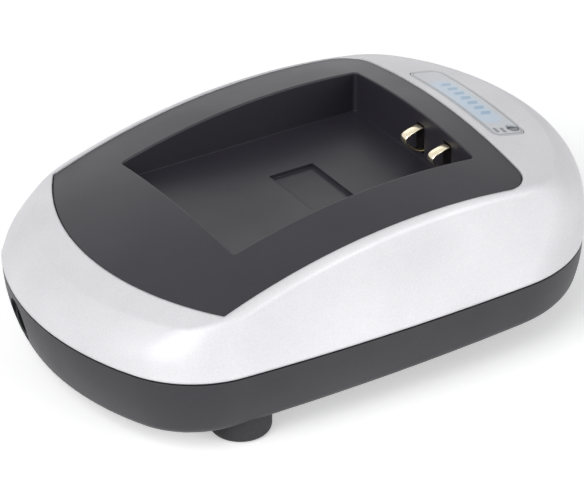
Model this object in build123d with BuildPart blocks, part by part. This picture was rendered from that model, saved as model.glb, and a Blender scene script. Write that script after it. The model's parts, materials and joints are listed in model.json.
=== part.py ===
from build123d import *
import os
from math import cos, hypot, radians, sin, sqrt, tan

# Camera battery charger: domed shell, battery plate with its pocket, base tray and charging board.
# Millimetres, +Z up. The origin is on the table under the middle of the case.
# +X points to the contact end, -X to the end with the DC inlet. Rises and drops count from the parting line.

# Case outline at the parting line
case_length = 100.0
case_width = 66.0
jack_end_radius = 50.7
contact_end_radius = 38.0
side_radius = 420.0
jack_corner_radius = 17.5
contact_corner_radius = 23.5

# Upper shell: dome, rolled ends and leaning sides
parting_height = 15.5
dome_rise = 20.2
dome_radius = 121.8
dome_apex_x = 9.9
roll_radius = 12.2
jack_roll_start = -2.9
jack_roll_limit = 55.0
contact_roll_start = 4.4
contact_roll_limit = 68.0
lip_rise = 17.3
lip_round = 1.5
side_lean = 4.1
side_scoop = 0.3
jack_corner_top = 4.0
contact_corner_top = 10.0
corner_rise = 11.5
shell_wall = 2.0
shell_plan_wall = 2.4
section_rises = (0, 2, 5, 8, 11, 14, 17, 22)

# Battery plate and the ledge in the shell that it sits on
plate_half_width = 27.5
plate_arc_radius = 48.2
plate_corner_x = -31.4
plate_end_x = 28.3
plate_corner_radius = 5.0
plate_skin = 1.8
plate_recess = 0.2
plate_gap = 0.2
seat_gap = 0.05
ledge_width = 2.6
ledge_depth = 1.6
ledge_overlap = 0.6
hook_width = 6.0
hook_thickness = 1.4
hook_reach = 0.8
hook_gap = 0.2
hook_spread = 14.0

# Battery pocket
cell_length = 42.0
cell_width = 35.0
cell_clearance = 0.5
pocket_end_x = 22.8
pocket_contact_gap = 2.2
pocket_finger_gap = 1.6
pocket_floor_rise = 10.6
pocket_ramp_run = 1.0
pocket_ramp_rise = 4.0
pocket_wall = 1.6
pocket_corner = 0.7
pocket_rim_round = 0.25
recess_length = 8.6
recess_width = 13.4
recess_depth = 0.7
recess_x = 2.1
recess_y = -0.7

# Leaf contacts in the pocket's end wall and the block behind it
contact_width = 1.8
contact_thickness = 0.4
contact_pitch = 8.1
contact_middle_y = -6.2
contact_bulge = 3.6
contact_arm = 0.9
contact_tip_rise = 15.4
contact_bend = 0.7
contact_stem_gap = 0.8
contact_tail = 1.6
slot_low_rise = 11.6
slot_high_rise = 17.2
slot_gap = 0.3
block_depth = 3.4
block_margin = 2.4
block_low_rise = 4.0
block_high_rise = 11.6
block_slot_gap = 0.05
block_chamfer = 0.8

# Base tray
base_setback = 0.1
base_curl = 0.024
base_drops = (0, 4, 8)
seam_height = 0.4
seam_depth = 0.6
base_wall = 2.0
base_depth = 10.45
base_slope = 0.035
base_edge_round = 3.0
tongue_height = 1.2
tongue_thickness = 1.0
tongue_setback = 3.3
tongue_root = 3.0

# Feet
foot_radius = 5.2
foot_edge_round = 1.4
foot_seat = 0.8
foot_gap = 0.1
jack_foot_inset = 23.9
jack_foot_y = 23.5
contact_foot_inset = 21.0
contact_foot_y = 11.5

# Case screws and their bosses
jack_screw_inset = 15.5
jack_screw_y = 20.2
contact_screw_inset = 15.0
contact_screw_y = 20.5
screw_radius = 1.25
screw_head_radius = 2.4
screw_head_height = 1.6
screw_length = 8.7
pilot_depth = 7.0
screw_gap = 0.05
screw_head_gap = 0.3
screw_head_depth = 2.6
boss_radius = 3.2
boss_drop = 4.0

# DC inlet
jack_y = 10.7
jack_drop = 5.2
jack_face_inset = 5.7
jack_bore_radius = 3.0
jack_bore_depth = 9.5
jack_nose_radius = 3.6
jack_nose_length = 2.4
jack_nose_gap = 0.2
jack_body_length = 11.0
jack_body_width = 9.0
jack_body_height = 8.0
jack_body_gap = 0.1
jack_pin_radius = 1.0
jack_pin_setback = 1.6
jack_pin_root = 0.8
jack_pin_gap = 0.05
cradle_rib = 1.2
cradle_rib_height = 3.5
tag_length = 3.6
tag_width = 1.8
tag_thickness = 0.5
tag_pitch = 4.6

# Charging board and what it carries
board_jack_inset = 17.0
board_contact_inset = 11.5
board_width = 33.0
board_thickness = 1.6
board_drop = 5.0
board_hole_jack_inset = 7.0
board_hole_contact_inset = 12.0
board_hole_side_inset = 2.6
board_post_radius = 2.2
board_screw_radius = 0.9
board_screw_head_radius = 1.8
board_screw_head_height = 1.2
board_screw_length = 3.0
inductor_x = 2.0
inductor_y = -4.0
inductor_radius = 6.0
inductor_core_radius = 3.0
inductor_height = 8.4
inductor_flange = 1.4
winding_radius = 5.5
winding_gap = 0.05
input_capacitor_x = -20.0
input_capacitor_y = 8.5
output_capacitor_x = 14.5
output_capacitor_y = 8.0
capacitor_radius = 4.0
capacitor_height = 11.0
capacitor_groove = 0.4
capacitor_groove_height = 0.7
capacitor_foot_height = 1.5
capacitor_edge = 0.4
chip_x = -11.0
chip_y = -6.0
chip_length = 9.9
chip_width = 3.9
chip_height = 1.5
chip_standoff = 0.2
chip_pins = 8
chip_pin_pitch = 1.27
chip_pin_width = 0.45
chip_pin_reach = 1.05
chip_pin_height = 0.58
transistor_x = -22.0
transistor_y = -6.5
transistor_length = 6.1
transistor_width = 6.5
transistor_height = 2.3
transistor_tab = 1.6
transistor_tab_thickness = 0.6
transistor_edge = 0.3
diode_x = 2.0
diode_y = 9.5
diode_length = 4.3
diode_width = 3.6
diode_height = 2.0
diode_edge = 0.3
diode_standoff = 0.1
diode_span = 5.4
diode_tab_width = 2.0
diode_tab_height = 1.2

# Label panel and status light on the contact end
panel_x = 33.6
panel_length = 6.6
panel_width = 27.0
panel_corner = 1.6
panel_depth = 0.5
panel_gap = 0.12
panel_bed_gap = 0.03
light_x = 35.2
light_y = -11.4
light_radius = 1.1
light_flange_radius = 1.8
light_flange_height = 1.0
light_gap = 0.08
led_radius = 1.5
led_height = 4.0
led_edge = 0.8
led_air = 0.3

# Wires between the board and the contacts
lead_radius = 0.7
lead_bend = 1.5
lead_sway = 1.9
lead_run = 2.4
lead_overlap = 1.0

half_length = case_length / 2
half_width = case_width / 2
jack_foot_x = -half_length + jack_foot_inset
contact_foot_x = half_length - contact_foot_inset
jack_screw_x = -half_length + jack_screw_inset
contact_screw_x = half_length - contact_screw_inset
jack_face_x = -half_length + jack_face_inset
board_end_x = half_length - board_contact_inset
board_length = case_length - board_jack_inset - board_contact_inset
dome_center = (dome_apex_x, 0, parting_height + dome_rise - dome_radius)
dome_turn = (90, 0, 0)
plate_under = plate_recess + plate_skin
ledge_total = plate_under + seat_gap + ledge_depth
plate_arc_x = plate_corner_x + sqrt(plate_arc_radius**2 - plate_half_width**2)
pocket_half_width = cell_width / 2 + cell_clearance
pocket_start_x = pocket_end_x - pocket_contact_gap - cell_length - pocket_finger_gap
pocket_floor = parting_height + pocket_floor_rise
shell_top = parting_height + section_rises[-1]
stem_x = pocket_end_x + pocket_wall + contact_stem_gap
contact_places = {
    "contact_positive": contact_middle_y + contact_pitch / 2,
    "contact_negative": contact_middle_y - contact_pitch / 2,
}
board_top = parting_height - board_drop
board_bottom = board_top - board_thickness
board_middle_x = board_end_x - board_length / 2
board_hole_y = board_width / 2 - board_hole_side_inset
board_hole_xs = (board_end_x - board_length + board_hole_jack_inset, board_end_x - board_hole_contact_inset)
board_holes = [(x, y) for x in board_hole_xs for y in (-board_hole_y, board_hole_y)]
jack_height = parting_height - jack_drop
case_screw_places = [
    (x, y)
    for x, side in ((jack_screw_x, jack_screw_y), (contact_screw_x, contact_screw_y))
    for y in (-side, side)
]
foot_places = {
    "foot_jack_near": (jack_foot_x, -jack_foot_y),
    "foot_jack_far": (jack_foot_x, jack_foot_y),
    "foot_contact_near": (contact_foot_x, -contact_foot_y),
    "foot_contact_far": (contact_foot_x, contact_foot_y),
}
underside = Plane(origin=(0, 0, parting_height - base_depth), z_dir=(-base_slope, 0, 1))
base_reach = base_depth + base_slope * half_length + base_wall
stand = (Align.CENTER, Align.CENTER, Align.MIN)

os.makedirs("parts", exist_ok=True)


def save(piece, label):
    """Label a finished piece and write its file."""
    piece.part.label = label
    export_step(piece.part, f"parts/{label}.step")


def dome_height(x, y, drop=0.0):
    """Height of the dome, or of a surface that lies drop below it, over a point of the plan."""
    reach = (dome_radius - drop) ** 2 - (x - dome_apex_x) ** 2 - y**2
    return dome_center[2] + sqrt(reach)


def underside_height(x):
    """Height of the base tray's sloping underside."""
    return parting_height - base_depth + base_slope * x


def roll_inset(rise, start, limit):
    """How far a rolled end lies inside the outline: a round, then its tangent past the limit angle."""
    turn = radians(limit)
    top = start + roll_radius * sin(turn)
    foot = roll_radius - sqrt(roll_radius**2 - min(start, 0) ** 2)
    if rise <= max(start, 0):
        return 0.0
    if rise <= top:
        return roll_radius - sqrt(roll_radius**2 - (rise - start) ** 2) - foot
    return roll_radius * (1 - cos(turn)) - foot + (rise - top) * tan(turn)


def side_inset(rise):
    """How far the leaning, scooped side lies inside the outline."""
    share = rise / lip_rise
    return side_lean * share + 4 * side_scoop * share * (1 - share)


def arc_meeting(end_center, end_radius, flank_center, toward):
    """Where an end arc crosses the far side arc, on the side of the contact end (1) or the jack end (-1)."""
    span = hypot(end_center, flank_center)
    along = (end_radius**2 - side_radius**2 + span**2) / (2 * span)
    across = toward * sqrt(end_radius**2 - along**2)
    x = end_center - (along * end_center - across * flank_center) / span
    y = -(along * flank_center + across * end_center) / span
    return x, y


def case_outline(height, jack_inset, contact_inset, flank_inset, jack_corner, contact_corner):
    """Case outline at a height: four large arcs with rounded corners."""
    jack_tip = -half_length + jack_inset
    contact_tip = half_length - contact_inset
    flank = half_width - flank_inset
    flank_center = side_radius - flank
    jack_x, jack_side = arc_meeting(jack_tip + jack_end_radius, jack_end_radius, flank_center, -1)
    contact_x, contact_side = arc_meeting(
        contact_tip - contact_end_radius, contact_end_radius, flank_center, 1
    )
    with BuildSketch(Plane.XY.offset(height)) as outline:
        with BuildLine():
            ThreePointArc((jack_x, jack_side), (jack_tip, 0), (jack_x, -jack_side))
            ThreePointArc((jack_x, -jack_side), (0, -flank), (contact_x, -contact_side))
            ThreePointArc((contact_x, -contact_side), (contact_tip, 0), (contact_x, contact_side))
            ThreePointArc((contact_x, contact_side), (0, flank), (jack_x, jack_side))
        make_face()
        fillet(outline.vertices().sort_by(Axis.X)[:2], jack_corner)
        fillet(outline.vertices().sort_by(Axis.X)[-2:], contact_corner)
    return outline.sketch


def shell_section(rise, inset=0.0):
    """Section of the upper shell's skirt: its corners sharpen towards the top, late at the jack end."""
    fade = min(rise / corner_rise, 1)
    jack_corner = jack_corner_radius + (jack_corner_top - jack_corner_radius) * fade**2
    contact_corner = contact_corner_radius + (contact_corner_top - contact_corner_radius) * fade
    return case_outline(
        parting_height + rise,
        roll_inset(rise, jack_roll_start, jack_roll_limit) + inset,
        roll_inset(rise, contact_roll_start, contact_roll_limit) + inset,
        side_inset(rise) + inset,
        jack_corner - inset,
        contact_corner - inset,
    )


def base_section(drop, inset=0.0):
    """Section of the base tray's wall, which curls in towards the underside."""
    step = base_setback + base_curl * drop**2 + inset
    return case_outline(
        parting_height - drop, step, step, step, jack_corner_radius - step, contact_corner_radius - step
    )


def plate_outline(growth=0.0):
    """Battery plate in plan: an arc to the jack end, straight sides and a square end."""
    side = plate_half_width + growth
    arc = plate_arc_radius + growth
    corner_x = plate_arc_x - sqrt(arc**2 - side**2)
    end_x = plate_end_x + growth
    with BuildSketch(Plane.XY.offset(parting_height)) as outline:
        with BuildLine():
            ThreePointArc((corner_x, side), (plate_arc_x - arc, 0), (corner_x, -side))
            Polyline((corner_x, -side), (end_x, -side), (end_x, side), (corner_x, side))
        make_face()
        fillet(outline.vertices().sort_by(Axis.X)[-2:], plate_corner_radius + growth)
    return outline.sketch


def pocket_profile(growth=0.0):
    """Pocket seen from the side: floor, upright contact wall and a leaning wall at the jack end."""
    ramp_length = hypot(pocket_ramp_run, pocket_ramp_rise)
    floor = pocket_floor - growth
    start_x = pocket_start_x - growth * (ramp_length - pocket_ramp_run) / pocket_ramp_rise
    end_x = pocket_end_x + growth
    ramp_top_x = start_x - (shell_top - floor) * pocket_ramp_run / pocket_ramp_rise
    with BuildSketch(Plane.XZ.offset(-pocket_half_width - growth)) as profile:
        with BuildLine():
            Polyline(
                (ramp_top_x, shell_top),
                (start_x, floor),
                (end_x, floor),
                (end_x, shell_top),
                close=True,
            )
        make_face()
    return profile.sketch


def panel_outline(gap=0.0):
    """Label panel in plan."""
    with BuildSketch(Plane.XY.offset(parting_height)) as outline:
        with Locations((panel_x, 0)):
            RectangleRounded(panel_length - 2 * gap, panel_width - 2 * gap, panel_corner - gap)
    return outline.sketch


# Outer form of the upper shell: the skirt lofted through its sections, under the dome
with BuildPart() as shell_form:
    for rise in section_rises:
        add(shell_section(rise))
    loft()
    with Locations(dome_center):
        Sphere(dome_radius, rotation=dome_turn, mode=Mode.INTERSECT)
    fillet(shell_form.faces().filter_by(GeomType.SPHERE).edges(), lip_round)

# Inside of the upper shell
with BuildPart() as shell_cavity:
    for rise in section_rises:
        add(shell_section(rise, shell_plan_wall))
    loft()
    with Locations(dome_center):
        Sphere(dome_radius - shell_wall, rotation=dome_turn, mode=Mode.INTERSECT)

# Ring round the opening that carries the plate
with BuildPart() as plate_ledge:
    add(plate_outline(ledge_overlap))
    extrude(amount=section_rises[-1])
    with Locations(dome_center):
        Sphere(dome_radius - plate_skin, rotation=dome_turn, mode=Mode.INTERSECT)
        Sphere(dome_radius - ledge_total, rotation=dome_turn, mode=Mode.SUBTRACT)

# Space above the ledge that the plate fills
with BuildPart() as plate_seat:
    add(plate_outline(plate_gap))
    extrude(amount=section_rises[-1])
    with Locations(dome_center):
        Sphere(dome_radius - plate_under - seat_gap, rotation=dome_turn, mode=Mode.SUBTRACT)

# Shallow bed of the label panel
with BuildPart() as panel_bed:
    add(panel_outline())
    extrude(amount=section_rises[-1])
    with Locations(dome_center):
        Sphere(dome_radius - panel_depth, rotation=dome_turn, mode=Mode.SUBTRACT)

with BuildPart() as top_shell:
    add(shell_form.part)
    add(shell_cavity.part, mode=Mode.SUBTRACT)
    add(plate_ledge.part)
    add(plate_outline(-ledge_width))
    extrude(amount=section_rises[-1], mode=Mode.SUBTRACT)
    for x, y in case_screw_places:
        boss_foot = parting_height - boss_drop
        boss_top = dome_height(x, y, shell_wall)
        with Locations((x, y, boss_foot)):
            Cylinder(boss_radius, boss_top - boss_foot, align=stand)
            Cylinder(screw_radius + screw_gap, pilot_depth, align=stand, mode=Mode.SUBTRACT)
    add(plate_seat.part, mode=Mode.SUBTRACT)
    add(panel_bed.part, mode=Mode.SUBTRACT)
    with Locations((light_x, light_y, parting_height)):
        Cylinder(light_radius + light_gap, section_rises[-1], align=stand, mode=Mode.SUBTRACT)
save(top_shell, "top_shell")

# Battery plate: domed skin, pocket tub, contact slots and snap hooks
with BuildPart() as pocket_tub:
    extrude(pocket_profile(pocket_wall), amount=2 * (pocket_half_width + pocket_wall))
    with Locations(dome_center):
        Sphere(dome_radius - plate_recess, rotation=dome_turn, mode=Mode.INTERSECT)

with BuildPart() as pocket_space:
    extrude(pocket_profile(), amount=2 * pocket_half_width)
    upright_edges = pocket_space.edges().filter_by(Axis.X, reverse=True).filter_by(Axis.Y, reverse=True)
    fillet(upright_edges, pocket_corner)

with BuildPart() as battery_plate:
    add(plate_outline())
    extrude(amount=section_rises[-1])
    with Locations(dome_center):
        Sphere(dome_radius - plate_recess, rotation=dome_turn, mode=Mode.INTERSECT)
        Sphere(dome_radius - plate_under, rotation=dome_turn, mode=Mode.SUBTRACT)
    add(pocket_tub.part)
    add(pocket_space.part, mode=Mode.SUBTRACT)
    with Locations((recess_x, recess_y, pocket_floor - recess_depth)):
        Box(recess_length, recess_width, recess_depth, align=stand, mode=Mode.SUBTRACT)
    for y in contact_places.values():
        with Locations((pocket_end_x + pocket_wall / 2, y, parting_height + slot_low_rise)):
            Box(
                2 * pocket_wall,
                contact_width + 2 * slot_gap,
                slot_high_rise - slot_low_rise,
                align=stand,
                mode=Mode.SUBTRACT,
            )
    plate_top = battery_plate.faces().filter_by(GeomType.SPHERE).sort_by(SortBy.RADIUS)[-1]
    fillet(plate_top.inner_wires().edges(), pocket_rim_round)
    hook_outer = plate_half_width - ledge_width - hook_gap
    hook_inner = hook_outer - hook_thickness
    for x in (-hook_spread, hook_spread):
        hook_root = dome_height(x, hook_outer, plate_recess + plate_skin / 2)
        hook_ends = (x - hook_width / 2, x + hook_width / 2)
        hook_top = min(dome_height(end, hook_outer + hook_reach, ledge_total) for end in hook_ends) - hook_gap
        for side in (-1, 1):
            with BuildSketch(Plane.YZ.offset(x)):
                with BuildLine():
                    Polyline(
                        (side * hook_inner, hook_root),
                        (side * hook_outer, hook_root),
                        (side * hook_outer, hook_top),
                        (side * (hook_outer + hook_reach), hook_top),
                        (side * hook_outer, hook_top - 2 * hook_reach),
                        (side * hook_inner, hook_top - 2 * hook_reach),
                        close=True,
                    )
                make_face()
            extrude(amount=hook_width / 2, both=True)
save(battery_plate, "battery_plate")

# Leaf contacts: a stem in the block, over the slot's top edge, out into the pocket and back
for label, y in contact_places.items():
    leaf_top = parting_height + slot_high_rise - slot_gap - contact_thickness / 2
    leaf_low = parting_height + slot_low_rise + slot_gap + contact_thickness / 2
    with BuildPart() as leaf:
        with BuildSketch(Plane.XZ.offset(-y)):
            with BuildLine():
                FilletPolyline(
                    (stem_x, parting_height + block_low_rise - contact_tail),
                    (stem_x, leaf_top),
                    (pocket_end_x - contact_arm, leaf_top),
                    (pocket_end_x - contact_bulge, parting_height + contact_tip_rise),
                    (pocket_end_x - contact_arm, leaf_low),
                    (pocket_end_x + pocket_wall / 2, leaf_low),
                    radius=contact_bend,
                )
            trace(line_width=contact_thickness)
        extrude(amount=contact_width / 2, both=True)
    save(leaf, label)

# Block behind the pocket wall that holds both contacts
with BuildPart() as contact_block:
    block_x = pocket_end_x + pocket_wall
    block_width = contact_pitch + contact_width + 2 * block_margin
    with Locations((block_x + block_depth / 2, contact_middle_y, parting_height + block_low_rise)):
        Box(block_depth, block_width, block_high_rise - block_low_rise, align=stand)
    chamfer(contact_block.edges().filter_by(Axis.Z).group_by(Axis.X)[-1], block_chamfer)
    for y in contact_places.values():
        with Locations((stem_x, y, parting_height)):
            Box(
                contact_thickness + 2 * block_slot_gap,
                contact_width + 2 * block_slot_gap,
                2 * block_high_rise,
                mode=Mode.SUBTRACT,
            )
save(contact_block, "contact_block")

# Base tray: curled wall, shadow seam, sloping rounded underside, tongue, posts, bosses and inlet cradle
with BuildPart() as base_form:
    for drop in (*base_drops, base_reach):
        add(base_section(drop))
    loft()
    split(bisect_by=underside, keep=Keep.TOP)
    fillet(base_form.faces().sort_by(Axis.Z)[0].edges(), base_edge_round)
    add(case_outline(parting_height, 0, 0, 0, jack_corner_radius, contact_corner_radius))
    extrude(amount=-seam_height, mode=Mode.SUBTRACT)
    add(base_section(0, seam_depth))
    extrude(amount=-seam_height)

with BuildPart() as base_cavity:
    for drop in (*base_drops, base_reach):
        add(base_section(drop, base_wall))
    loft()
    split(bisect_by=underside.offset(base_wall), keep=Keep.TOP)

with BuildPart() as base_shell:
    add(base_form.part)
    add(base_cavity.part, mode=Mode.SUBTRACT)
    add(base_section(0, base_wall / 2))
    extrude(amount=-tongue_root)
    add(base_section(0, tongue_setback - base_setback))
    extrude(amount=tongue_height)
    add(base_section(0, tongue_setback - base_setback + tongue_thickness))
    extrude(amount=tongue_height + tongue_root, both=True, mode=Mode.SUBTRACT)
    for x, y in case_screw_places:
        boss_floor = underside_height(x) + base_wall / 2
        with Locations((x, y, boss_floor)):
            Cylinder(boss_radius, parting_height - boss_drop - boss_floor, align=stand)
        with Locations((x, y, 0)):
            Cylinder(screw_radius + screw_gap, parting_height, align=stand, mode=Mode.SUBTRACT)
            Cylinder(
                screw_head_radius + screw_head_gap,
                underside_height(x) + screw_head_depth,
                align=stand,
                mode=Mode.SUBTRACT,
            )
    for x, y in board_holes:
        post_floor = underside_height(x) + base_wall / 2
        with Locations((x, y, post_floor)):
            Cylinder(board_post_radius, board_bottom - post_floor, align=stand)
        with Locations((x, y, board_top - board_screw_length - screw_gap)):
            Cylinder(board_screw_radius + screw_gap, parting_height, align=stand, mode=Mode.SUBTRACT)
    cradle_floor = underside_height(jack_face_x) + base_wall / 2
    cradle_top = jack_height - jack_body_height / 2
    with Locations((jack_face_x + jack_body_length / 2, jack_y, cradle_floor)):
        Box(
            jack_body_length,
            jack_body_width + 2 * (jack_body_gap + cradle_rib),
            cradle_top + cradle_rib_height - cradle_floor,
            align=stand,
        )
    with Locations((jack_face_x + jack_body_length / 2, jack_y, cradle_top)):
        Box(
            jack_body_length + 2 * jack_body_gap,
            jack_body_width + 2 * jack_body_gap,
            parting_height,
            align=stand,
            mode=Mode.SUBTRACT,
        )
    with Locations(Plane((jack_face_x, jack_y, jack_height), z_dir=(-1, 0, 0))):
        Cylinder(jack_nose_radius + jack_nose_gap, half_length, align=stand, mode=Mode.SUBTRACT)
    for x, y in foot_places.values():
        with Locations((x, y, 0)):
            Cylinder(
                foot_radius + foot_gap, underside_height(x) + foot_seat, align=stand, mode=Mode.SUBTRACT
            )
save(base_shell, "base_shell")

# Feet
for label, (x, y) in foot_places.items():
    with BuildPart() as foot:
        with Locations((x, y, 0)):
            Cylinder(foot_radius, underside_height(x) + foot_seat, align=stand)
        fillet(foot.edges().sort_by(Axis.Z)[0], foot_edge_round)
    save(foot, label)

# Case screws, driven up through the base into the shell's bosses
with BuildPart() as case_screws:
    for x, y in case_screw_places:
        head_top = underside_height(x) + screw_head_depth
        with Locations((x, y, head_top - screw_head_height)):
            Cylinder(screw_head_radius, screw_head_height, align=stand)
            Cylinder(screw_radius, screw_head_height + screw_length, align=stand)
save(case_screws, "case_screws")

# Charging board
with BuildPart() as circuit_board:
    with Locations((board_middle_x, 0, board_bottom)):
        Box(board_length, board_width, board_thickness, align=stand)
    with Locations(*[(x, y, board_top) for x, y in board_holes]):
        Hole(board_screw_radius + screw_gap)
save(circuit_board, "circuit_board")

with BuildPart() as board_screws:
    for x, y in board_holes:
        with Locations((x, y, board_top)):
            Cylinder(board_screw_head_radius, board_screw_head_height, align=stand)
        with Locations((x, y, board_top - board_screw_length)):
            Cylinder(board_screw_radius, board_screw_length, align=stand)
save(board_screws, "board_screws")

# DC inlet: moulded body with a round nose, centre pin and solder tags
jack_axis = Plane((jack_face_x - jack_nose_length, jack_y, jack_height), z_dir=(1, 0, 0))
with BuildPart() as dc_jack_body:
    with Locations((jack_face_x + jack_body_length / 2, jack_y, jack_height)):
        Box(jack_body_length, jack_body_width, jack_body_height)
    with Locations(jack_axis):
        Cylinder(jack_nose_radius, jack_nose_length, align=stand)
        Cylinder(jack_bore_radius, jack_bore_depth, align=stand, mode=Mode.SUBTRACT)
        Cylinder(
            jack_pin_radius + jack_pin_gap, jack_bore_depth + jack_pin_root, align=stand, mode=Mode.SUBTRACT
        )
save(dc_jack_body, "dc_jack_body")

with BuildPart() as dc_jack_pin:
    with Locations(jack_axis.offset(jack_pin_setback)):
        Cylinder(jack_pin_radius, jack_bore_depth + jack_pin_root - jack_pin_setback, align=stand)
    chamfer(dc_jack_pin.edges().sort_by(Axis.X)[0], jack_pin_radius / 2)
save(dc_jack_pin, "dc_jack_pin")

with BuildPart() as dc_jack_terminals:
    tag_x = jack_face_x + jack_body_length + tag_length / 2
    for y in (jack_y - tag_pitch / 2, jack_y + tag_pitch / 2):
        with Locations((tag_x, y, board_top)):
            Box(tag_length, tag_width, tag_thickness, align=stand)
save(dc_jack_terminals, "dc_jack_terminals")

# Converter coil: ferrite drum and its winding
with BuildPart() as inductor_core:
    with Locations((inductor_x, inductor_y, board_top)):
        Cylinder(inductor_core_radius, inductor_height, align=stand)
        Cylinder(inductor_radius, inductor_flange, align=stand)
    with Locations((inductor_x, inductor_y, board_top + inductor_height - inductor_flange)):
        Cylinder(inductor_radius, inductor_flange, align=stand)
save(inductor_core, "inductor_core")

with BuildPart() as inductor_winding:
    winding_height = inductor_height - 2 * (inductor_flange + winding_gap)
    with Locations((inductor_x, inductor_y, board_top + inductor_flange + winding_gap)):
        Cylinder(winding_radius, winding_height, align=stand)
        Cylinder(inductor_core_radius + winding_gap, winding_height, align=stand, mode=Mode.SUBTRACT)
save(inductor_winding, "inductor_winding")

# Electrolytic capacitors with the crimp groove near the foot
capacitor_places = {
    "capacitor_input": (input_capacitor_x, input_capacitor_y),
    "capacitor_output": (output_capacitor_x, output_capacitor_y),
}
for label, (x, y) in capacitor_places.items():
    with BuildPart() as capacitor:
        with Locations((x, y, board_top)):
            Cylinder(capacitor_radius - capacitor_groove, capacitor_height, align=stand)
            Cylinder(capacitor_radius, capacitor_foot_height, align=stand)
        can_rise = capacitor_foot_height + capacitor_groove_height
        with Locations((x, y, board_top + can_rise)):
            Cylinder(capacitor_radius, capacitor_height - can_rise, align=stand)
        chamfer(capacitor.edges().sort_by(Axis.Z)[-1], capacitor_edge)
    save(capacitor, label)

# Charge controller with its two rows of legs
with BuildPart() as charge_controller:
    with Locations((chip_x, chip_y, board_top + chip_standoff)):
        Box(chip_length, chip_width, chip_height, align=stand)
    with Locations((chip_x, chip_y, board_top)):
        with GridLocations(chip_pin_pitch, 0, chip_pins, 1):
            Box(
                chip_pin_width,
                chip_width + 2 * chip_pin_reach,
                chip_pin_height,
                align=stand,
            )
save(charge_controller, "charge_controller")

# Switching transistor with its soldered tab
with BuildPart() as switching_transistor:
    with Locations((transistor_x, transistor_y, board_top)):
        Box(transistor_length, transistor_width, transistor_height, align=stand)
    chamfer(switching_transistor.faces().sort_by(Axis.Z)[-1].edges(), transistor_edge)
    with Locations((transistor_x - transistor_length / 2, transistor_y, board_top)):
        Box(2 * transistor_tab, transistor_width, transistor_tab_thickness, align=stand)
save(switching_transistor, "switching_transistor")

# Rectifier diode: moulded body with its folded end tabs
with BuildPart() as rectifier_diode:
    with Locations((diode_x, diode_y, board_top + diode_standoff)):
        Box(diode_length, diode_width, diode_height, align=stand)
    chamfer(rectifier_diode.faces().sort_by(Axis.Z)[-1].edges(), diode_edge)
    with Locations((diode_x, diode_y, board_top)):
        Box(diode_span, diode_tab_width, diode_tab_height, align=stand)
save(rectifier_diode, "rectifier_diode")

# Status light: a diode lamp on the board and the pipe that carries its light up to the panel
with BuildPart() as status_led:
    with Locations((light_x, light_y, board_top)):
        Cylinder(led_radius, led_height, align=stand)
    chamfer(status_led.edges().sort_by(Axis.Z)[-1], led_edge)
save(status_led, "status_led")

with BuildPart() as light_pipe:
    pipe_foot = board_top + led_height + led_air
    pipe_top = dome_height(light_x + light_radius, light_y - light_radius)
    flange_top = dome_height(light_x + light_flange_radius, light_y - light_flange_radius, shell_wall)
    with Locations((light_x, light_y, pipe_foot)):
        Cylinder(light_radius, pipe_top - pipe_foot, align=stand)
    with Locations((light_x, light_y, flange_top - light_gap - light_flange_height)):
        Cylinder(light_flange_radius, light_flange_height, align=stand)
save(light_pipe, "light_pipe")

# Label panel in its bed
with BuildPart() as label_panel:
    add(panel_outline(panel_gap))
    extrude(amount=section_rises[-1])
    with Locations(dome_center):
        Sphere(dome_radius, rotation=dome_turn, mode=Mode.INTERSECT)
        Sphere(dome_radius - panel_depth + panel_bed_gap, rotation=dome_turn, mode=Mode.SUBTRACT)
    with Locations((light_x, light_y, parting_height)):
        Cylinder(light_radius + light_gap, section_rises[-1], align=stand, mode=Mode.SUBTRACT)
save(label_panel, "label_panel")

# Wires from the board up to the contacts' tails
for label, y in contact_places.items():
    lead_x = stem_x + contact_thickness / 2 + lead_radius
    tail_foot = parting_height + block_low_rise - contact_tail
    with BuildPart() as lead:
        with BuildLine() as lead_path:
            FilletPolyline(
                (lead_x, y, tail_foot + lead_overlap),
                (lead_x, y, tail_foot - lead_run),
                (lead_x + lead_sway, y, board_top + lead_run),
                (lead_x + lead_sway, y, board_top),
                radius=lead_bend,
            )
        with BuildSketch(Plane(lead_path.line @ 0, z_dir=lead_path.line % 0)):
            Circle(lead_radius)
        sweep()
    save(lead, label.replace("contact", "lead"))
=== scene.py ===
"""Looks of a camera battery charger: finishes on its solids, finer screws, winding and contacts, studio."""

from __future__ import annotations

import json
import logging
import math
from dataclasses import dataclass
from enum import Enum

import bmesh
import bpy
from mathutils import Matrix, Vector


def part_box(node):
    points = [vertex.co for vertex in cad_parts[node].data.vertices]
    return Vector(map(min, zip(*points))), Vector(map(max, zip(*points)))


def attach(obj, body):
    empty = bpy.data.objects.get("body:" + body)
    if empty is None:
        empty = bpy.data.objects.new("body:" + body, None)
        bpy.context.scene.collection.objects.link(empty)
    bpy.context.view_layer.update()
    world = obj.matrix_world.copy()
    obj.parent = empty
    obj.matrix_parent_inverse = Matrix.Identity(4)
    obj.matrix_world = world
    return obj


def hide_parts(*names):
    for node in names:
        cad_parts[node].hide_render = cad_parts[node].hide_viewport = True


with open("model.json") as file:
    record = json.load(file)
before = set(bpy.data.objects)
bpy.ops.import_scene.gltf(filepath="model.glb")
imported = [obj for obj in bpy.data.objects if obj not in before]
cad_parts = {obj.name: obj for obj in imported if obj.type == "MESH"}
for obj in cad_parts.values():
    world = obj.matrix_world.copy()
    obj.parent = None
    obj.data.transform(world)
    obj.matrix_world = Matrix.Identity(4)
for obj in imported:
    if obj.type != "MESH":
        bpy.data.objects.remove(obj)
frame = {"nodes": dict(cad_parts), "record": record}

LOG = logging.getLogger("charger")
MM = 0.001
MERGE_DISTANCE = 0.001 * MM
WHITE = (1.0, 1.0, 1.0, 1.0)

Colour = tuple[float, float, float]
Pair = tuple[float, float]
Triple = tuple[float, float, float]
Socket = bpy.types.NodeSocket


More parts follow.
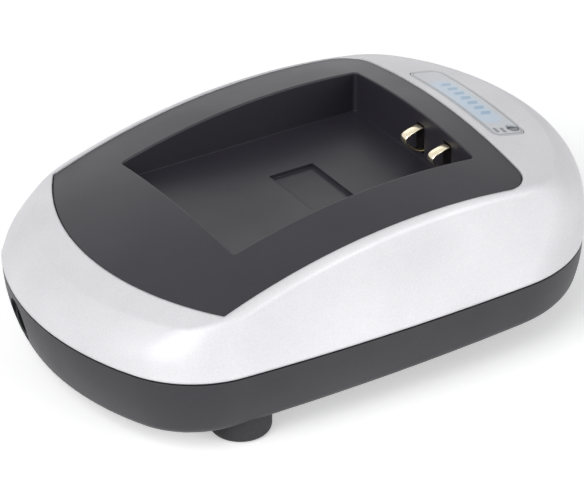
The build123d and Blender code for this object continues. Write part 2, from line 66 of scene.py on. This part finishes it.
class Grain(Enum):
    """Kinds of fine surface relief, as noise scale per metre and noise detail."""

    SPARK = (2600.0, 3.0)
    FLAKE = (4200.0, 2.0)
    SMOOTH = (900.0, 1.0)


class Wiring:
    """A node tree under construction."""

    def __init__(self, tree: bpy.types.NodeTree) -> None:
        """Take over a tree."""
        self.tree = tree

    def feed(self, socket: Socket, value: object) -> None:
        """Link a socket to another, or set its value.

        Args:
            socket: Input to fill.
            value: Output to link from, or a value to set.
        """
        if isinstance(value, bpy.types.NodeSocket):
            self.tree.links.new(value, socket)
        else:
            socket.default_value = value

    def add(self, kind: str, inputs: dict[str, object] | None = None, **settings: object) -> bpy.types.Node:
        """Add a node, set its properties and fill its inputs.

        Args:
            kind: Node type.
            inputs: Sockets or values for its inputs, by name.
            **settings: Properties to set on the node.

        Returns:
            The new node.
        """
        node = self.tree.nodes.new(kind)
        for key, value in settings.items():
            setattr(node, key, value)
        for key, value in (inputs or {}).items():
            self.feed(node.inputs[key], value)
        return node

    def math(self, operation: str, first: Socket | float, second: Socket | float = 0.0) -> Socket:
        """Combine two values.

        Args:
            operation: Math operation.
            first: First value.
            second: Second value, where the operation has one.

        Returns:
            The result's socket.
        """
        node = self.add("ShaderNodeMath", operation=operation)
        self.feed(node.inputs[0], first)
        self.feed(node.inputs[1], second)
        return node.outputs[0]

    def seen(self) -> Socket:
        """Tell the rays that show a surface from the rays that only light others.

        Returns:
            A socket that is 1 on camera, glossy and transmission rays.
        """
        rays = self.add("ShaderNodeLightPath").outputs
        straight = self.math("MAXIMUM", rays["Is Camera Ray"], rays["Is Glossy Ray"])
        return self.math("MAXIMUM", straight, rays["Is Transmission Ray"])


class Recipe(Wiring):
    """A node material under construction, on Object coordinates."""

    bevel_samples = 6

    def __init__(self, name: str) -> None:
        """Start a material.

        Args:
            name: Name of the material.
        """
        self.material = bpy.data.materials.new(name)
        self.material.use_nodes = True
        super().__init__(self.material.node_tree)
        self.shader = self.tree.nodes["Principled BSDF"]
        self.place = self.add("ShaderNodeTexCoord").outputs["Object"]

    def noise(self, scale: float, detail: float = 2.0) -> Socket:
        """Noise over the piece, about 0.5 on average, from cells per metre and octaves."""
        node = self.add("ShaderNodeTexNoise", {"Vector": self.place, "Scale": scale, "Detail": detail})
        return node.outputs["Fac"]

    def ramp(self, value: Socket, low: float, high: float, start: float, end: float) -> Socket:
        """Map a value from low and high to start and end, held at both."""
        limits = {"From Min": low, "From Max": high, "To Min": start, "To Max": end}
        return self.add("ShaderNodeMapRange", {"Value": value, **limits}).outputs["Result"]

    def mix(self, share: Socket, first: Colour | Socket, second: Colour | Socket) -> Socket:
        """Blend two colours.

        Args:
            share: How much of the second colour shows.
            first: Colour where the share is 0.
            second: Colour where the share is 1.

        Returns:
            The blended colour's socket.
        """
        node = self.add("ShaderNodeMix", {"Factor": share}, data_type="RGBA")
        for key, colour in (("A", first), ("B", second)):
            socket = next(s for s in node.inputs if s.name == key and s.type == "RGBA")
            self.feed(socket, (*colour, 1.0) if isinstance(colour, tuple) else colour)
        return next(s for s in node.outputs if s.type == "RGBA")

    def bar(self, centre: Pair, half: Pair, corner: float, slant: float = 0.0) -> Socket:
        """Distance from the edge of a rounded bar in plan.

        Args:
            centre: Middle of the bar, in metres.
            half: Half its size along X and Y, in metres.
            corner: Corner radius, in metres.
            slant: How far its X shifts for each metre of Y.

        Returns:
            A socket that is negative inside the bar and positive outside.
        """
        x, y, _ = self.add("ShaderNodeSeparateXYZ", {"Vector": self.place}).outputs
        beside = self.math("SUBTRACT", y, centre[1])
        shifted = self.math("MULTIPLY", beside, slant)
        along = self.math("SUBTRACT", self.math("SUBTRACT", x, centre[0]), shifted)
        squares = []
        for offset, size in ((along, half[0]), (beside, half[1])):
            past = self.math("SUBTRACT", self.math("ABSOLUTE", offset), size - corner)
            reach = self.math("MAXIMUM", past, 0.0)
            squares.append(self.math("MULTIPLY", reach, reach))
        return self.math("SUBTRACT", self.math("SQRT", self.math("ADD", *squares)), corner)

    def relief(self, height: Socket, strength: float, depth: float, edge: float) -> None:
        """Give the surface a fine relief, and its edges a small round that catches the light.

        Args:
            height: Relief's height socket.
            strength: How strongly it shows.
            depth: Depth of the relief, in metres.
            edge: Radius of the edges' round, in metres.
        """
        soft = self.add("ShaderNodeBevel", {"Radius": edge}, samples=self.bevel_samples)
        node = self.add(
            "ShaderNodeBump",
            {"Normal": soft.outputs["Normal"], "Strength": strength, "Distance": depth, "Height": height},
        )
        self.feed(self.shader.inputs["Normal"], node.outputs["Normal"])


@dataclass(frozen=True)
class Finish:
    """A surface finish: colour that varies a little, roughness that varies a little, and a fine relief."""

    name: str
    colour: Colour
    shade: Colour
    roughness: float
    metallic: float = 0.0
    grain: Grain = Grain.SPARK
    grain_strength: float = 0.15
    specular: float = 0.5
    coat: float = 0.0
    edge: float = 0.2 * MM
    coat_roughness: float = 0.2
    patch_scale: float = 60.0
    patch_detail: float = 4.0
    patch_range: Pair = (0.3, 0.7)
    shade_range: Pair = (0.35, 0.65)
    roughness_swing: float = 0.04
    relief_depth: float = 0.03 * MM

    def recipe(self) -> Recipe:
        """Build the nodes that every finish has.

        Returns:
            The recipe, with colour, roughness and relief in place.
        """
        recipe = Recipe(self.name)
        sockets = recipe.shader.inputs
        sockets["Metallic"].default_value = self.metallic
        sockets["Specular IOR Level"].default_value = self.specular
        sockets["Coat Weight"].default_value = self.coat
        sockets["Coat Roughness"].default_value = self.coat_roughness
        patches = recipe.noise(self.patch_scale, self.patch_detail)
        grains = recipe.noise(*self.grain.value)
        average = recipe.math("MULTIPLY", recipe.math("ADD", patches, grains), 0.5)
        share = recipe.ramp(average, *self.shade_range, 0.0, 1.0)
        recipe.feed(sockets["Base Color"], recipe.mix(share, self.colour, self.shade))
        smoothest = self.roughness - self.roughness_swing
        roughest = self.roughness + self.roughness_swing
        recipe.feed(sockets["Roughness"], recipe.ramp(patches, *self.patch_range, smoothest, roughest))
        recipe.relief(grains, self.grain_strength, self.relief_depth, self.edge)
        return recipe

    def material(self) -> bpy.types.Material:
        """Build the finish's material."""
        return self.recipe().material


@dataclass(frozen=True)
class PanelFilm(Finish):
    """Printed film of the label panel: a thin dark frame, a pale blue field and plain level bars."""

    middle: Pair = (33.6 * MM, 0.0)
    half: Pair = (3.3 * MM, 13.5 * MM)
    corner: float = 1.6 * MM
    frame_inset: float = 0.45 * MM
    frame_line: float = 0.13 * MM
    field_middle: Pair = (33.0 * MM, -0.6 * MM)
    field_half: Pair = (2.4 * MM, 8.8 * MM)
    field_corner: float = 2.0 * MM
    field_fade: Pair = (-0.9 * MM, 0.5 * MM)
    bars: int = 7
    bar_middle: Pair = (33.7 * MM, 0.4 * MM)
    bar_pitch: float = 2.0 * MM
    bar_half: Pair = (0.9 * MM, 0.5 * MM)
    bar_slant: float = 0.5
    bar_fade: Pair = (-0.12 * MM, 0.30 * MM)
    mark_places: tuple[Pair, ...] = ((31.7 * MM, -11.6 * MM), (33.0 * MM, -11.8 * MM))
    mark_half: Pair = (0.35 * MM, 0.75 * MM)
    print_corner: float = 0.2 * MM
    print_blur: float = 0.06 * MM
    line_ink: float = 0.75
    mark_ink: float = 0.8
    field_colour: Colour = (0.52, 0.62, 0.73)
    bar_colour: Colour = (0.22, 0.38, 0.54)
    line_colour: Colour = (0.16, 0.16, 0.18)

    def material(self) -> bpy.types.Material:
        """Build the film's material.

        Returns:
            The material, with its print in plan coordinates.
        """
        recipe = self.recipe()
        blur = self.print_blur
        colour = recipe.shader.inputs["Base Color"].links[0].from_socket
        edge = recipe.bar(self.field_middle, self.field_half, self.field_corner)
        colour = recipe.mix(recipe.ramp(edge, *self.field_fade, 1.0, 0.0), colour, self.field_colour)
        for place in range(self.bars):
            y = self.bar_middle[1] + (place - (self.bars - 1) / 2) * self.bar_pitch
            edge = recipe.bar((self.bar_middle[0], y), self.bar_half, self.print_corner, self.bar_slant)
            ink = recipe.ramp(edge, *self.bar_fade, self.line_ink, 0.0)
            colour = recipe.mix(ink, colour, self.bar_colour)
        for place in self.mark_places:
            edge = recipe.bar(place, self.mark_half, self.print_corner)
            ink = recipe.ramp(edge, -blur, blur, self.mark_ink, 0.0)
            colour = recipe.mix(ink, colour, self.line_colour)
        edge = recipe.bar(self.middle, self.half, self.corner)
        border = recipe.math("ABSOLUTE", recipe.math("ADD", edge, self.frame_inset))
        line = recipe.ramp(border, self.frame_line - blur, self.frame_line + blur, self.line_ink, 0.0)
        recipe.feed(recipe.shader.inputs["Base Color"], recipe.mix(line, colour, self.line_colour))
        return recipe.material


@dataclass(frozen=True)
class BoardLaminate(Finish):
    """Circuit board: solder mask with paler copper tracks under it."""

    track_colour: Colour = (0.10, 0.36, 0.15)
    track_cells: float = 260.0
    track_fade: Pair = (0.09, 0.117)

    def material(self) -> bpy.types.Material:
        """Build the board's material.

        Returns:
            The material, with tracks along the borders of uneven cells.
        """
        recipe = self.recipe()
        socket = recipe.shader.inputs["Base Color"]
        mask = socket.links[0].from_socket
        layout = {"Vector": recipe.place, "Scale": self.track_cells}
        cells = recipe.add("ShaderNodeTexVoronoi", layout, feature="DISTANCE_TO_EDGE")
        track = recipe.ramp(cells.outputs["Distance"], *self.track_fade, 1.0, 0.0)
        recipe.feed(socket, recipe.mix(track, mask, self.track_colour))
        return recipe.material


FINISHES = (
    Finish(
        "silver_shell",
        (0.803, 0.797, 0.822),
        (0.703, 0.697, 0.722),
        0.42,
        0.1,
        Grain.FLAKE,
        0.08,
        specular=0.15,
        edge=0.5 * MM,
    ),
    Finish("plate_plastic", (0.024, 0.0225, 0.030), (0.018, 0.0165, 0.023), 0.46, specular=0.42),
    Finish("base_plastic", (0.030, 0.028, 0.034), (0.023, 0.022, 0.027), 0.50, specular=0.48),
    Finish("foot_rubber", (0.050, 0.048, 0.051), (0.036, 0.035, 0.037), 0.72, specular=0.3),
    Finish("contact_gold", (0.86, 0.78, 0.60), (0.74, 0.66, 0.48), 0.22, 1.0, Grain.SMOOTH, 0.05),
    Finish("black_plastic", (0.014, 0.014, 0.015), (0.009, 0.009, 0.010), 0.50, specular=0.25),
    PanelFilm("label_film", (0.60, 0.62, 0.65), (0.55, 0.57, 0.60), 0.34, 0.1, Grain.SMOOTH, 0.03),
    Finish("light_window", (0.10, 0.11, 0.12), (0.07, 0.08, 0.09), 0.22, grain=Grain.SMOOTH, coat=0.4),
    BoardLaminate("board_laminate", (0.030, 0.17, 0.065), (0.022, 0.13, 0.05), 0.38),
    Finish("steel", (0.62, 0.62, 0.64), (0.50, 0.50, 0.52), 0.32, 1.0, Grain.SMOOTH, 0.08),
    Finish("copper_wire", (0.72, 0.32, 0.13), (0.58, 0.24, 0.09), 0.30, 1.0, Grain.SMOOTH, 0.04),
    Finish("ferrite", (0.075, 0.073, 0.072), (0.045, 0.045, 0.046), 0.66, grain_strength=0.3),
    Finish("capacitor_sleeve", (0.030, 0.055, 0.17), (0.022, 0.042, 0.13), 0.28, coat=0.3),
    Finish("red_wire", (0.50, 0.030, 0.028), (0.40, 0.022, 0.020), 0.45),
    Finish("black_wire", (0.020, 0.020, 0.021), (0.012, 0.012, 0.013), 0.45),
    Finish("led_lens", (0.70, 0.76, 0.70), (0.62, 0.70, 0.62), 0.20, grain=Grain.SMOOTH, coat=0.5),
)


def dress(materials: dict[str, bpy.types.Material]) -> None:
    """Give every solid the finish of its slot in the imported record.

    Args:
        materials: Materials by the record's material slots.
    """
    for part in frame["record"]["subparts"]:
        mesh = frame["nodes"][part["node"]].data
        mesh.materials.clear()
        mesh.materials.append(materials[part["material_slot"]])
        LOG.info("%s takes %s", part["node"], part["material_slot"])


class Growth(Wiring):
    """A Geometry Nodes tree with named sizes, grown into a plain mesh."""

    def __init__(self, name: str) -> None:
        """Start a tree.

        Args:
            name: Name of the piece that the tree makes.
        """
        super().__init__(bpy.data.node_groups.new(name, "GeometryNodeTree"))
        self.name = name
        self.sizes: dict[str, float] = {}
        for way in ("INPUT", "OUTPUT"):
            self.tree.interface.new_socket("Geometry", in_out=way, socket_type="NodeSocketGeometry")
        self.entry = self.add("NodeGroupInput")
        self.exit = self.add("NodeGroupOutput")

    def size(self, name: str, value: float) -> Socket:
        """Add a named size.

        Args:
            name: Name of the input.
            value: Its value, in metres or as a number.

        Returns:
            The input's socket inside the tree.
        """
        self.tree.interface.new_socket(name, in_out="INPUT", socket_type="NodeSocketFloat")
        self.sizes[name] = value
        return self.entry.outputs[name]

    def shape(self, kind: str, inputs: dict[str, object], **settings: object) -> Socket:
        """Add a node that makes or changes a shape, and return the shape's socket."""
        return self.add(kind, inputs, **settings).outputs[0]

    def join(self, *shapes: Socket) -> Socket:
        """Join shapes into one geometry.

        Args:
            *shapes: The shapes.

        Returns:
            The joined geometry's socket.
        """
        node = self.add("GeometryNodeJoinGeometry")
        for shape in shapes:
            self.feed(node.inputs[0], shape)
        return node.outputs[0]

    def cut(self, operation: str, shapes: dict[str, Socket]) -> Socket:
        """Combine shapes, by the node's input names, with an exact boolean."""
        inputs = {**shapes, "Self Intersection": True}
        return self.shape("GeometryNodeMeshBoolean", inputs, operation=operation, solver="EXACT")

    def vector(self, x: Socket | float, y: Socket | float, z: Socket | float) -> Socket:
        """A vector from three numbers or sockets."""
        return self.add("ShaderNodeCombineXYZ", {"X": x, "Y": y, "Z": z}).outputs[0]

    def lift(self, shape: Socket, rise: Socket) -> Socket:
        """Move a shape along Z."""
        shift = self.vector(0.0, 0.0, rise)
        return self.shape("GeometryNodeTransform", {"Geometry": shape, "Translation": shift})

    def grow(self, shape: Socket, material: bpy.types.Material, seeds: list[Vector]) -> bpy.types.Object:
        """Put the shape on each seed and turn the result into a plain mesh object.

        Args:
            shape: The shape that the tree makes.
            material: Material of the piece.
            seeds: Places of the shape.

        Returns:
            The finished object, at the origin.
        """
        points = self.entry.outputs["Geometry"]
        copies = self.shape("GeometryNodeInstanceOnPoints", {"Points": points, "Instance": shape})
        real = self.shape("GeometryNodeRealizeInstances", {"Geometry": copies})
        dressed = self.shape("GeometryNodeSetMaterial", {"Geometry": real, "Material": material})
        self.feed(self.exit.inputs[0], dressed)
        start = bpy.data.meshes.new(self.name + "_seeds")
        start.from_pydata([tuple(seed) for seed in seeds], [], [])
        holder = bpy.data.objects.new(self.name + "_seeds", start)
        bpy.context.scene.collection.objects.link(holder)
        modifier = holder.modifiers.new("growth", "NODES")
        modifier.node_group = self.tree
        for item in self.tree.interface.items_tree:
            if item.in_out == "INPUT" and item.name in self.sizes:
                modifier[item.identifier] = self.sizes[item.name]
        mesh = plain_mesh(holder)
        mesh.name = self.name
        return place_mesh(mesh)


def plain_mesh(holder: bpy.types.Object) -> bpy.types.Mesh:
    """Turn an object into a plain mesh and remove it.

    Args:
        holder: The object, with a modifier or a curve.

    Returns:
        Its evaluated mesh.
    """
    view = bpy.context.evaluated_depsgraph_get()
    mesh = bpy.data.meshes.new_from_object(holder.evaluated_get(view), depsgraph=view)
    bpy.data.objects.remove(holder)
    return mesh


def place_mesh(mesh: bpy.types.Mesh) -> bpy.types.Object:
    """Put a mesh in the scene, at the origin.

    Args:
        mesh: The mesh.

    Returns:
        Its object, with the mesh's name.
    """
    piece = bpy.data.objects.new(mesh.name, mesh)
    bpy.context.scene.collection.objects.link(piece)
    return piece


def settle(piece: bpy.types.Object, node: str) -> None:
    """Put a piece in the place of a solid.

    Args:
        piece: The finished piece.
        node: The solid that it stands for.
    """
    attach(piece, "root")
    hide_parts(node)
    LOG.info("%s stands for %s with %d faces", piece.name, node, len(piece.data.polygons))


def loose_boxes(node: str) -> list[tuple[Vector, Vector]]:
    """Boxes of the separate bodies in a solid.

    Args:
        node: The solid's node.

    Returns:
        Lower and upper corner of each body, sorted by place.
    """
    source = frame["nodes"][node]
    shape = bmesh.new()
    shape.from_mesh(source.data)
    bmesh.ops.transform(shape, matrix=source.matrix_world, verts=shape.verts)
    bmesh.ops.remove_doubles(shape, verts=shape.verts, dist=MERGE_DISTANCE)
    waiting = set(shape.verts)
    boxes = []
    while waiting:
        body = [waiting.pop()]
        for vertex in body:
            beside = {edge.other_vert(vertex) for edge in vertex.link_edges} & waiting
            waiting -= beside
            body.extend(beside)
        low, high = (
            Vector([limit(vertex.co[axis] for vertex in body) for axis in range(3)]) for limit in (min, max)
        )
        boxes.append((low, high))
    shape.free()
    return sorted(boxes, key=lambda box: tuple(box[0]))


@dataclass
class ScrewSet:
    """Equal cross-head screws on upright axes, each in the place of a body of the solid.

    The cross is sized in head radii, and its middle lies above the head's by a share of the head's height.
    """

    name: str
    node: str
    head_height: float
    shaft_radius: float
    head_up: bool
    sunk_length: float = 0.2 * MM
    slot_length: float = 1.25
    slot_width: float = 0.26
    slot_lift: float = 0.45
    head_sides: int = 48
    shaft_sides: int = 24

    def build(self, material: bpy.types.Material) -> None:
        """Grow one screw at each place.

        Args:
            material: Finish of the screws.
        """
        boxes = loose_boxes(self.node)
        size = boxes[0][1] - boxes[0][0]
        growth = Growth(self.name)
        head_radius = growth.size("Head radius", size.x / 2)
        head_height = growth.size("Head height", self.head_height)
        shaft_radius = growth.size("Shaft radius", self.shaft_radius)
        shaft_length = growth.size("Shaft length", size.z - self.head_height)
        sunk_length = growth.size("Sunk length", self.sunk_length)
        up = 1.0 if self.head_up else -1.0
        head_offset = Vector((0.0, 0.0, up * (size.z - self.head_height) / 2))
        screw = growth.shape(
            "GeometryNodeMeshCylinder",
            {"Vertices": self.head_sides, "Radius": head_radius, "Depth": head_height},
        )
        long = growth.math("MULTIPLY", head_radius, self.slot_length)
        narrow = growth.math("MULTIPLY", head_radius, self.slot_width)
        rise = growth.math("MULTIPLY", head_height, self.slot_lift * up)
        for x, y in ((long, narrow), (narrow, long)):
            block = growth.shape("GeometryNodeMeshCube", {"Size": growth.vector(x, y, head_height)})
            screw = growth.cut("DIFFERENCE", {"Mesh 1": screw, "Mesh 2": growth.lift(block, rise)})
        length = growth.math("ADD", shaft_length, sunk_length)
        shaft = growth.shape(
            "GeometryNodeMeshCylinder",
            {"Vertices": self.shaft_sides, "Radius": shaft_radius, "Depth": length},
        )
        span = growth.math("SUBTRACT", growth.math("ADD", shaft_length, head_height), sunk_length)
        lowered = growth.lift(shaft, growth.math("MULTIPLY", span, -0.5 * up))
        screw = growth.cut("UNION", {"Mesh 2": growth.join(screw, lowered)})
        places = [(low + high) / 2 + head_offset for low, high in boxes]
        settle(growth.grow(screw, material, places), self.node)


@dataclass
class CoilWinding:
    """Enamelled wire wound on the converter's ferrite drum; the pitch is in wire radii."""

    name: str = "coil_turns"
    node: str = "inductor_winding"
    wire_radius: float = 0.24 * MM
    pitch: float = 2.05
    turn_steps: int = 40
    wire_sides: int = 8
    inner_sides: int = 48

    def build(self, material: bpy.types.Material) -> None:
        """Wind the outer layer over a plain inner layer.

        Args:
            material: Finish of the wire.
        """
        low, high = (Vector(corner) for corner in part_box(self.node))
        growth = Growth(self.name)
        wire = growth.size("Wire radius", self.wire_radius)
        outer = growth.size("Outer radius", (high.x - low.x) / 2)
        height = growth.size("Height", high.z - low.z)
        radius = growth.math("SUBTRACT", outer, wire)
        climb = growth.math("SUBTRACT", height, growth.math("MULTIPLY", wire, 2.0))
        turns = growth.math("DIVIDE", climb, growth.math("MULTIPLY", wire, self.pitch))
        helix = growth.shape(
            "GeometryNodeCurveSpiral",
            {
                "Resolution": self.turn_steps,
                "Rotations": turns,
                "Start Radius": radius,
                "End Radius": radius,
                "Height": climb,
            },
        )
        strand = growth.shape(
            "GeometryNodeCurvePrimitiveCircle", {"Resolution": self.wire_sides, "Radius": wire}
        )
        layer = growth.shape(
            "GeometryNodeCurveToMesh", {"Curve": helix, "Profile Curve": strand, "Fill Caps": True}
        )
        lowered = growth.lift(layer, growth.math("MULTIPLY", climb, -0.5))
        inner = growth.shape(
            "GeometryNodeMeshCylinder", {"Vertices": self.inner_sides, "Radius": radius, "Depth": climb}
        )
        piece = growth.grow(growth.join(lowered, inner), material, [(low + high) / 2])
        settle(piece, self.node)


@dataclass
class LeafContact:
    """A crowned spring leaf that leaves the pocket's end wall, bends to a nose and goes back."""

    node: str
    strip_half: float = 0.2 * MM
    wall_gap: float = 2.4 * MM
    arm_reach: float = 0.9 * MM
    nose_reach: float = 0.83 * MM
    nose_drop: float = 1.3 * MM
    return_drop: float = 4.6 * MM
    return_depth: float = 0.8 * MM
    crown: float = 0.42 * MM
    brim: float = 0.14 * MM
    across: int = 10
    along: int = 12
    order: int = 3

    def route(self) -> list[Pair]:
        """The leaf's control points, from the solid's own box.

        Returns:
            Points along X and Z, from the stem's foot to the leaf's return.
        """
        low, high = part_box(self.node)
        stem = high[0] - self.strip_half
        top = high[2] - self.strip_half
        wall = stem - self.wall_gap
        bottom = top - self.return_drop
        return [
            (stem, low[2]),
            (stem, top),
            (wall - self.arm_reach, top),
            (low[0] - self.nose_reach, top - self.nose_drop),
            (wall - self.arm_reach, bottom),
            (wall + self.return_depth, bottom),
        ]

    def path(self) -> list[Vector]:
        """Points of the leaf's smooth line.

        Returns:
            Points read from a spline over the route.
        """
        curve = bpy.data.curves.new("leaf_line", "CURVE")
        curve.dimensions = "3D"
        spline = curve.splines.new("NURBS")
        route = self.route()
        spline.points.add(len(route) - 1)
        for point, (x, z) in zip(spline.points, route):
            point.co = (x, 0.0, z, 1.0)
        spline.order_u = self.order
        spline.use_endpoint_u = True
        spline.resolution_u = self.along
        holder = bpy.data.objects.new("leaf_line", curve)
        bpy.context.scene.collection.objects.link(holder)
        line = plain_mesh(holder)
        points = [vertex.co.copy() for vertex in line.vertices]
        bpy.data.meshes.remove(line)
        return points

    def section(self, width: float) -> list[Pair]:
        """Outline of the leaf's crowned section.

        Args:
            width: Width of the leaf.

        Returns:
            Points across the leaf and through its thickness.
        """
        upper = []
        for step in range(self.across + 1):
            share = 1.0 - 2.0 * step / self.across
            arch = math.sqrt(max(0.0, 1.0 - share * share))
            thickness = self.brim + (self.crown - self.brim) * arch
            upper.append((share * width / 2, thickness / 2))
        return upper + [(offset, -depth) for offset, depth in reversed(upper)]

    def build(self, material: bpy.types.Material) -> None:
        """Sweep the section along the line.

        Args:
            material: Finish of the leaf.
        """
        low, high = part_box(self.node)
        middle = (low[1] + high[1]) / 2
        outline = self.section(high[1] - low[1])
        path = self.path()
        shape = bmesh.new()
        rings = []
        for index, point in enumerate(path):
            ahead = path[min(index + 1, len(path) - 1)] - path[max(index - 1, 0)]
            side = Vector((-ahead.z, 0.0, ahead.x)).normalized()
            rings.append(
                [
                    shape.verts.new((point.x + side.x * depth, middle + offset, point.z + side.z * depth))
                    for offset, depth in outline
                ]
            )
        for first, second in zip(rings, rings[1:]):
            for index, corner in enumerate(first):
                following = (index + 1) % len(first)
                shape.faces.new((corner, first[following], second[following], second[index]))
        shape.faces.new(rings[0])
        shape.faces.new(rings[-1])
        bmesh.ops.recalc_face_normals(shape, faces=shape.faces)
        for face in shape.faces:
            face.smooth = True
        mesh = bpy.data.meshes.new(self.node + "_leaf")
        shape.to_mesh(mesh)
        shape.free()
        mesh.materials.append(material)
        settle(place_mesh(mesh), self.node)


@dataclass(frozen=True)
class Lamp:
    """A square soft lamp that faces the charger: place and side in metres, power in watts."""

    name: str
    place: Triple
    side: float
    power: float


@dataclass
class Studio:
    """White room, pale floor, soft lamps and the camera, in metres; lens and sensor are in millimetres."""

    target: Triple = (0.0, 0.0, 15.5 * MM)
    direction: Triple = (-0.4615, -0.7334, 0.4992)
    distance: float = 714.3 * MM
    lens: float = 261.7
    sensor: float = 36.0
    image_width: int = 584
    image_offset: Pair = (-7.12, -7.54)
    near_clip: float = 0.01
    floor_half: float = 3.0
    floor_colour: Colour = (0.93, 0.93, 0.93)
    floor_shade: Colour = (0.91, 0.91, 0.91)
    floor_patches: float = 40.0
    floor_roughness: float = 0.9
    floor_glow: float = 0.42
    room_colour: Colour = (0.97, 0.98, 1.0)
    room_strength: float = 0.22
    lamps: tuple[Lamp, ...] = (
        Lamp("front_lamp", (0.6, -1.35, 0.38), 0.9, 9.9),
        Lamp("left_lamp", (-1.3, -0.3, 0.6), 0.8, 1.6),
        Lamp("top_lamp", (-1.1, -0.5, 1.05), 1.2, 17.6),
        Lamp("back_panel", (0.6, 1.5, 0.58), 1.6, 4.0),
    )

    def floor(self) -> None:
        """Lay the pale floor."""
        mesh = bpy.data.meshes.new("floor")
        half = self.floor_half
        corners = [(x * half, y * half, 0.0) for x, y in ((-1, -1), (1, -1), (1, 1), (-1, 1))]
        mesh.from_pydata(corners, [], [(0, 1, 2, 3)])
        recipe = Recipe("floor_paper")
        sockets = recipe.shader.inputs
        sockets["Roughness"].default_value = self.floor_roughness
        sockets["Specular IOR Level"].default_value = 0.0
        sockets["Emission Color"].default_value = WHITE
        patches = recipe.noise(self.floor_patches)
        recipe.feed(sockets["Base Color"], recipe.mix(patches, self.floor_colour, self.floor_shade))
        recipe.feed(sockets["Emission Strength"], recipe.math("MULTIPLY", recipe.seen(), self.floor_glow))
        mesh.materials.append(recipe.material)
        paper = place_mesh(mesh)

    def room(self) -> None:
        """Light the room evenly and show it white."""
        world = bpy.data.worlds.new("room")
        world.use_nodes = True
        wiring = Wiring(world.node_tree)
        soft = wiring.tree.nodes["Background"]
        soft.inputs["Color"].default_value = (*self.room_colour, 1.0)
        soft.inputs["Strength"].default_value = self.room_strength
        white = wiring.add("ShaderNodeBackground", {"Color": WHITE})
        choice = wiring.add("ShaderNodeMixShader")
        for socket, source in zip(choice.inputs, (wiring.seen(), soft.outputs[0], white.outputs[0])):
            wiring.feed(socket, source)
        wiring.feed(wiring.tree.nodes["World Output"].inputs["Surface"], choice.outputs[0])
        bpy.context.scene.world = world

    def hang(self, lamp: Lamp) -> None:
        """Hang a lamp.

        Args:
            lamp: The lamp.
        """
        light = bpy.data.lights.new(lamp.name, "AREA")
        light.size = lamp.side
        light.energy = lamp.power
        holder = bpy.data.objects.new(lamp.name, light)
        holder.location = lamp.place
        aim = Vector(self.target) - Vector(lamp.place)
        holder.rotation_euler = aim.to_track_quat("-Z", "Y").to_euler()
        bpy.context.scene.collection.objects.link(holder)

    def camera(self) -> None:
        """Set the camera at the view's angle and distance."""
        data = bpy.data.cameras.new("camera")
        data.lens = self.lens
        data.sensor_width = self.sensor
        data.shift_x, data.shift_y = (offset / self.image_width for offset in self.image_offset)
        data.clip_start = self.near_clip
        camera = bpy.data.objects.new("camera", data)
        back = Vector(self.direction).normalized()
        camera.location = Vector(self.target) + back * self.distance
        camera.rotation_euler = (-back).to_track_quat("-Z", "Y").to_euler()
        bpy.context.scene.collection.objects.link(camera)
        bpy.context.scene.camera = camera

    def build(self) -> None:
        """Set up floor, room, lamps and camera."""
        self.floor()
        self.room()
        for lamp in self.lamps:
            self.hang(lamp)
        self.camera()
        bpy.context.scene.view_settings.view_transform = "Standard"


def main() -> None:
    """Dress the charger and set up its studio."""
    logging.basicConfig(level=logging.INFO, format="%(message)s")
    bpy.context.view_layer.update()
    materials = {finish.name: finish.material() for finish in FINISHES}
    dress(materials)
    CoilWinding().build(materials["copper_wire"])
    for screws in (
        ScrewSet("case_screw_set", "case_screws", 1.6 * MM, 1.25 * MM, head_up=False),
        ScrewSet("board_screw_set", "board_screws", 1.2 * MM, 0.9 * MM, head_up=True),
    ):
        screws.build(materials["steel"])
    for node in ("contact_positive", "contact_negative"):
        LeafContact(node).build(materials["contact_gold"])
    Studio().build()


if __name__ == "__main__":
    main()
